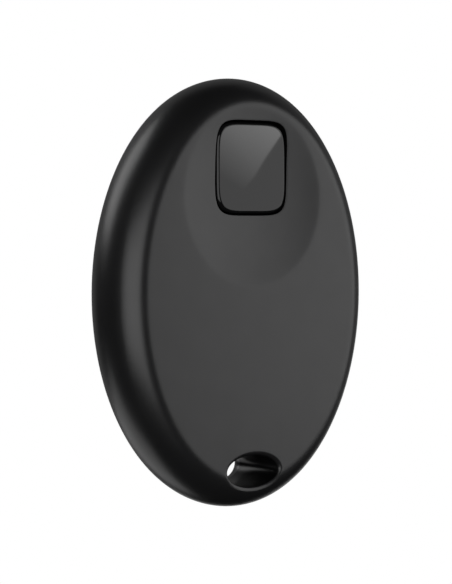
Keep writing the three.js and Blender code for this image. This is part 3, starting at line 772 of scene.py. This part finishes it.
# %% Card light
def card_light():
    """Brightness is a plane over the face, u times one slope plus v times another plus a constant,
    never below nothing. It stops at a straight line that climbs to the face's upper right."""
    material = bpy.data.materials.new("card_light")
    material.use_nodes = True
    nodes, links = material.node_tree.nodes, material.node_tree.links
    nodes.clear()

    def plane(a, b, c):
        """a times u plus b times v plus c, as one dot product and one addition."""
        dot = nodes.new("ShaderNodeVectorMath")
        dot.operation = "DOT_PRODUCT"
        dot.inputs[1].default_value = (a, b, 0)
        add = nodes.new("ShaderNodeMath")
        add.inputs[1].default_value = c
        links.new(uv.outputs["UV"], dot.inputs[0])
        links.new(dot.outputs["Value"], add.inputs[0])
        return add

    uv = nodes.new("ShaderNodeUVMap")
    uv.uv_map = "face_mm"
    glow = nodes.new("ShaderNodeMath")
    glow.operation = "MAXIMUM"
    glow.inputs[1].default_value = 0
    links.new(plane(*CARD_GLOW).outputs[0], glow.inputs[0])
    edge = plane(*CARD_STOP)
    edge.use_clamp = True
    product = nodes.new("ShaderNodeMath")
    product.operation = "MULTIPLY"
    links.new(glow.outputs[0], product.inputs[0])
    links.new(edge.outputs[0], product.inputs[1])
    light, clear = nodes.new("ShaderNodeEmission"), nodes.new("ShaderNodeBsdfTransparent")
    both, out = nodes.new("ShaderNodeAddShader"), nodes.new("ShaderNodeOutputMaterial")
    links.new(product.outputs[0], light.inputs["Strength"])
    links.new(light.outputs[0], both.inputs[0])
    links.new(clear.outputs[0], both.inputs[1])
    links.new(both.outputs[0], out.inputs["Surface"])
    return material


card = bpy.data.objects.new("reflection_card", reflection_card())
card.data.materials.append(card_light())
bpy.context.scene.collection.objects.link(card)
card.visible_camera = card.visible_diffuse = card.visible_shadow = card.visible_transmission = False
only_cap = bpy.data.collections.new("card_receivers")
only_cap.objects.link(cap)
card.light_linking.receiver_collection = only_cap
print("card", len(card.data.polygons), "faces")

# %% [markdown]
# ## Back cover
#
# The cover continues the flat back and its edge follows the seat all round with a hair of a gap. A
# finger-nail scoop crosses the seam at the top, and three small holes let the buzzer out. Its
# inside, with four clip tabs, keeps the frame's faces.

# %% Back cover
SOUND_PLACES, SOUND_RISE, SOUND_RADIUS, SOUND_LIP, SOUND_STEPS = (-2.2, 0.0, 2.2), 15.3, 0.5, 0.1, 40
COVER_PITCH, EDGE_CLEAR = 0.45, 0.04


def inside_of_cover(corners):
    """Picks the clip tabs: what lies in front of the inner level, and not the level itself."""
    y = corners[..., 1]
    return (y < COVER_INNER + LEVEL).all(1) & ~(np.abs(y - COVER_INNER) < LEVEL).all(1)


def back_cover():
    """The outer face and its lip, the sound holes, and the frame's clip tabs under the inner level."""
    half_x, half_z = COVER_HALF_X - COVER_GAP, COVER_HALF_Z - COVER_GAP
    edge_x, edge_z = half_x - SEAM_LIP, half_z - SEAM_LIP
    points = with_scoop(lattice(half_x, half_z, COVER_PITCH, COVER_RISE), clear=0.25)
    points = points[within_oval(points, edge_x - EDGE_CLEAR, edge_z - EDGE_CLEAR, COVER_RISE)]
    outlines = [oval(edge_x, edge_z, COVER_STEPS, COVER_RISE)]
    edge = lip(half_x, half_z, COVER_RISE, 2, COVER_STEPS, back_depth, -SEAM_LIP, SEAM_LIP, -1)
    side = wall(edge[-1], COVER_INNER, steps=2)
    sheets, feet = [strip(edge), strip(side)], [side[-1][:, [0, 2]]]
    for x in SOUND_PLACES:
        hole, points = mouth(points, SOUND_RADIUS, SOUND_RADIUS, SOUND_LIP, SOUND_STEPS, SOUND_RISE, 2, x)
        outlines.append(hole)
        edge = lip(SOUND_RADIUS, SOUND_RADIUS, SOUND_RISE, 2, SOUND_STEPS, back_depth, SOUND_LIP,
                   SOUND_LIP, -1, steps=5, across=x)
        bore = wall(edge[-1], COVER_INNER, steps=3)
        sheets += [strip(edge), strip(bore)]
        feet.append(bore[-1][:, [0, 2]])
    face = lifted(*fill(outlines, points, pitch=0.15), back_depth)
    points, faces, edges = frame_faces("back_cover", inside_of_cover)
    under = fill(feet, np.zeros((0, 2)), 1, open_at(points, edges, COVER_INNER))
    return skin("cover_moulding", [face, *sheets, (points, faces), lifted(*under, COVER_INNER)])


cover = back_cover()
cover.data.materials.append(casing)
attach(cover, "back_cover")
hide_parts("back_cover")

# %% [markdown]
# ## Seal, pad, coin cell and holder
#
# These show once the cover is off. The seal is a soft ring carried round the seat; the others are
# profiles turned about the thickness direction, which is how a lathe or a press would make them.

# %% Turned pieces
CELL_RISE = -4.0


def turned(name, profile, count, sharp):
    """Radius and depth pairs carried round the cell's axis. They start and end near the axis, where
    a fan closes each end."""
    rings = np.array([raised(oval(radius, radius, count, CELL_RISE), y) for radius, y in profile])
    ends = [fan(rings[0], profile[0][1]), fan(rings[-1], profile[-1][1])]
    return skin(name, [strip(rings), *ends], sharp)


def dress(piece, material, body, node):
    """Gives a piece its finish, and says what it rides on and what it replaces."""
    piece.data.materials.append(material)
    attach(piece, body)
    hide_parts(node)


# %% Seal ring
silicone = finish("seal_silicone", (0.035, 0.036, 0.038), 0.62, grain_mm=0.15, grain_depth=0.004,
                  drift=0.1, spread=0.05)
SEAL_X, SEAL_Z, SEAL_DEPTH = 15.2, 18.8, 3.35           # the middle of the section
SEAL_WIDE, SEAL_DEEP, SEAL_POWER, SEAL_DIP = 0.4, 0.24, 0.6, 0.25
SEAL_SIDES, OVAL_STEPS = 24, 320


def seal_ring():
    """A section with round corners: the cosine and sine of a turn, each to a power and stretched to
    the half sizes. Its back dips by a quarter except along a bead in the middle."""
    turn = np.arange(SEAL_SIDES) * 2 * np.pi / SEAL_SIDES
    c, s = np.cos(turn), np.sin(turn)
    across = SEAL_WIDE * np.sign(c) * np.abs(c) ** SEAL_POWER
    dip = 1 - SEAL_DIP * (np.abs(c) > 0.5) * (s > 0)
    depth = SEAL_DEPTH + SEAL_DEEP * np.sign(s) * np.abs(s) ** SEAL_POWER * dip
    rings = [raised(oval(SEAL_X + a, SEAL_Z + a, OVAL_STEPS, COVER_RISE), y)
             for a, y in zip(np.append(across, across[0]), np.append(depth, depth[0]))]
    return skin("seal_ring", [strip(np.array(rings))], sharp=60)


dress(seal_ring(), silicone, "housing", "cover_seal")

# %% Cell pad
PAD_RADIUS = 6.0
foam = finish("pad_foam", (0.03, 0.03, 0.032), 0.95, grain_mm=0.12, grain_depth=0.05, drift=0.35,
              spread=0.04)


def cell_pad():
    """A disc whose front edge is softly rounded."""
    front, back = [corner.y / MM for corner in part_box("battery_pad")]
    profile = [(AXIS, front), (PAD_RADIUS - 0.25, front), (PAD_RADIUS - 0.07, front + 0.06),
               (PAD_RADIUS, front + 0.15), (PAD_RADIUS, back), (AXIS, back)]
    return turned("cell_pad", profile, count=128, sharp=50)


dress(cell_pad(), foam, "back_cover", "battery_pad")

# %% Coin cell can
CELL_RADIUS, CAN_WALL, CAN_FLOOR, GROOVE = 10.0, 0.35, 0.25, 7.75
cell_steel = finish("cell_steel", (0.66, 0.66, 0.64), 0.26, grain_mm=0.08, drift=0.06, spread=0.05,
                    Metallic=1.0)


def cell_can():
    """A pressed cup, open to the front, with rounded edges and a shallow groove on its back."""
    mouth_y, back = [corner.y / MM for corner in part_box("cell_can")]
    inner, outer = CELL_RADIUS - CAN_WALL, CELL_RADIUS
    profile = [(AXIS, back - CAN_FLOOR), (inner, back - CAN_FLOOR), (inner, mouth_y), (outer - 0.15, mouth_y),
               (outer - 0.05, mouth_y + 0.07), (outer, mouth_y + 0.2), (outer, back - 0.3),
               (outer - 0.04, back - 0.15), (outer - 0.15, back - 0.05), (outer - 0.3, back),
               (GROOVE + 0.15, back), (GROOVE, back - 0.04), (GROOVE - 0.15, back), (AXIS, back)]
    return turned("coin_cell_can", profile, count=192, sharp=25)


dress(cell_can(), cell_steel, "housing", "cell_can")

# %% Battery holder
HOLDER_INNER, HOLDER_OUTER, HOLDER_EASE = 10.15, 11.05, 0.25
THUMB_GAP, THUMB_CREST = 3.4, 0.3
nylon = finish("black_nylon", (0.02, 0.02, 0.021), 0.5, grain_mm=0.2, grain_depth=0.004, drift=0.12,
               spread=0.05)


def battery_holder():
    """A ring 0.9 mm thick whose top drops over a thumb gap on the left: a smooth step of the
    distance from the gap's middle."""
    foot, top = [corner.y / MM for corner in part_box("battery_holder")]
    turn = np.arange(OVAL_STEPS) * 2 * np.pi / OVAL_STEPS
    height = (HOLDER_INNER + HOLDER_OUTER) / 2 * np.sin(turn)
    ease = np.clip((np.abs(height) - THUMB_GAP) / HOLDER_EASE, 0, 1)
    crest = np.where(np.cos(turn) < 0, THUMB_CREST + (top - THUMB_CREST) * ease ** 2 * (3 - 2 * ease), top)
    inner, outer = HOLDER_INNER, HOLDER_OUTER
    profile = [(inner, foot), (outer, foot), (outer, crest - 0.14), (outer - 0.05, crest - 0.04),
               (outer - 0.13, crest), (inner + 0.13, crest), (inner + 0.05, crest - 0.04),
               (inner, crest - 0.14), (inner, foot)]
    rings = [raised(oval(radius, radius, OVAL_STEPS, CELL_RISE), y) for radius, y in profile]
    return skin("cell_holder", [strip(np.array(rings))], sharp=40)


dress(battery_holder(), nylon, "housing", "battery_holder")

# %% [markdown]
# ## Finishes of the inner parts
#
# The small parts keep the frame's shapes. Each takes a finish for its slot: solder mask with faint
# tracks on the board, bright pressed steel, plated gold, moulded epoxy, fired ceramic.

# %% Board finish
MASK_GREEN, TRACK_GREEN, TINNED = (0.004, 0.042, 0.024), (0.012, 0.105, 0.052), (0.55, 0.5, 0.36)
TRACK_RUNS = ((0, 5.2, 0.62), (90, 3.6, 1.9))     # turn in degrees, run length and pitch in mm
TRACK_WIDTH, TRACK_HEIGHT, HOLE_PITCH, HOLE_SHARE = 0.06, 0.03, 2.4, 0.075


def board_finish():
    """Solder mask with long and short copper runs under it, the joints of a brick pattern laid in
    the plane of the board, and tinned holes where a point is near a Voronoi cell's own point."""
    material = finish("solder_mask", MASK_GREEN, 0.3, grain_mm=0.3, drift=0.15, spread=0.04)
    nodes, links = material.node_tree.nodes, material.node_tree.links
    shader, base = nodes["Principled BSDF"], nodes["Principled BSDF"].inputs["Base Color"]
    flat = nodes.new("ShaderNodeMapping")
    flat.inputs["Rotation"].default_value = (math.pi / 2, 0, 0)
    links.new(next(n for n in nodes if n.type == "TEX_COORD").outputs["Object"], flat.inputs["Vector"])

    def over(colour, share):
        """Lays a colour over what the base shows, by a share from another node."""
        mix = nodes.new("ShaderNodeMix")
        mix.data_type = "RGBA"
        links.new(base.links[0].from_socket, mix.inputs["A"])
        mix.inputs["B"].default_value = (*colour, 1)
        links.new(share, mix.inputs["Factor"])
        links.new(mix.outputs["Result"], base)

    for turned_by, length, pitch in TRACK_RUNS:
        lay = nodes.new("ShaderNodeMapping")
        lay.inputs["Rotation"].default_value = (0, 0, math.radians(turned_by))
        runs = nodes.new("ShaderNodeTexBrick")
        runs.inputs["Scale"].default_value = 1 / MM
        runs.inputs["Brick Width"].default_value = length
        runs.inputs["Row Height"].default_value = pitch
        runs.inputs["Mortar Size"].default_value = TRACK_WIDTH
        links.new(flat.outputs["Vector"], lay.inputs["Vector"])
        links.new(lay.outputs["Vector"], runs.inputs["Vector"])
        over(TRACK_GREEN, runs.outputs["Fac"])
    bump = nodes.new("ShaderNodeBump")
    bump.inputs["Distance"].default_value = TRACK_HEIGHT * MM
    links.new(runs.outputs["Fac"], bump.inputs["Height"])
    links.new(bump.outputs["Normal"], shader.inputs["Normal"])
    holes = nodes.new("ShaderNodeTexVoronoi")
    holes.voronoi_dimensions = "2D"
    holes.inputs["Scale"].default_value = 1 / (HOLE_PITCH * MM)
    near = nodes.new("ShaderNodeMath")
    near.operation = "LESS_THAN"
    near.inputs[1].default_value = HOLE_SHARE
    links.new(flat.outputs["Vector"], holes.inputs["Vector"])
    links.new(holes.outputs["Distance"], near.inputs[0])
    over(TINNED, near.outputs["Value"])
    return material


# %% Slot finishes
SLOT_FINISHES = {
    "silicone": silicone,
    "foam": foam,
    "black_nylon": nylon,
    "cell_steel": cell_steel,
    "casing": casing,
    "button_gloss": gloss,
    "board": board_finish(),
    "spring_steel": finish("spring_steel", (0.56, 0.57, 0.58), 0.24, grain_mm=0.06, drift=0.08,
                           spread=0.06, stretch=(1, 1, 6), Metallic=1.0),
}
SMALL_PARTS = [
    # slot, name, colour, roughness, grain and its depth in mm, drift, spread, metal
    ("chip_epoxy", "chip_epoxy", (0.018, 0.018, 0.019), 0.42, 0.08, 0.004, 0.15, 0.06, 0),
    ("ferrite", "ferrite", (0.06, 0.058, 0.056), 0.6, 0.1, 0.01, 0.3, 0.08, 0),
    ("tantalum", "tantalum_case", (0.62, 0.33, 0.05), 0.42, 0.2, 0.003, 0.08, 0.05, 0),
    ("gold_plate", "gold_plate", (0.83, 0.58, 0.22), 0.22, 0.1, 0.0, 0.06, 0.06, 1),
    ("capacitor_body", "capacitor_ceramic", (0.42, 0.27, 0.14), 0.4, 0.15, 0.003, 0.12, 0.06, 0),
    ("buzzer_brass", "buzzer_brass", (0.72, 0.49, 0.17), 0.28, 0.1, 0.0, 0.08, 0.06, 1),
    ("buzzer_ceramic", "buzzer_ceramic", (0.8, 0.77, 0.68), 0.38, 0.12, 0.002, 0.05, 0.05, 0),
    ("cell_core", "cell_core", (0.03, 0.03, 0.032), 0.85, 0.15, 0.01, 0.3, 0.05, 0),
]
for slot, *values, metal in SMALL_PARTS:
    SLOT_FINISHES[slot] = finish(*values, Metallic=metal)
for part in frame["record"]["subparts"]:
    piece = frame["nodes"][part["node"]]
    piece.data.materials.clear()
    piece.data.materials.append(SLOT_FINISHES[part["material_slot"]])

# %% [markdown]
# ## Update the scene

# %% Finish
bpy.context.view_layer.update()
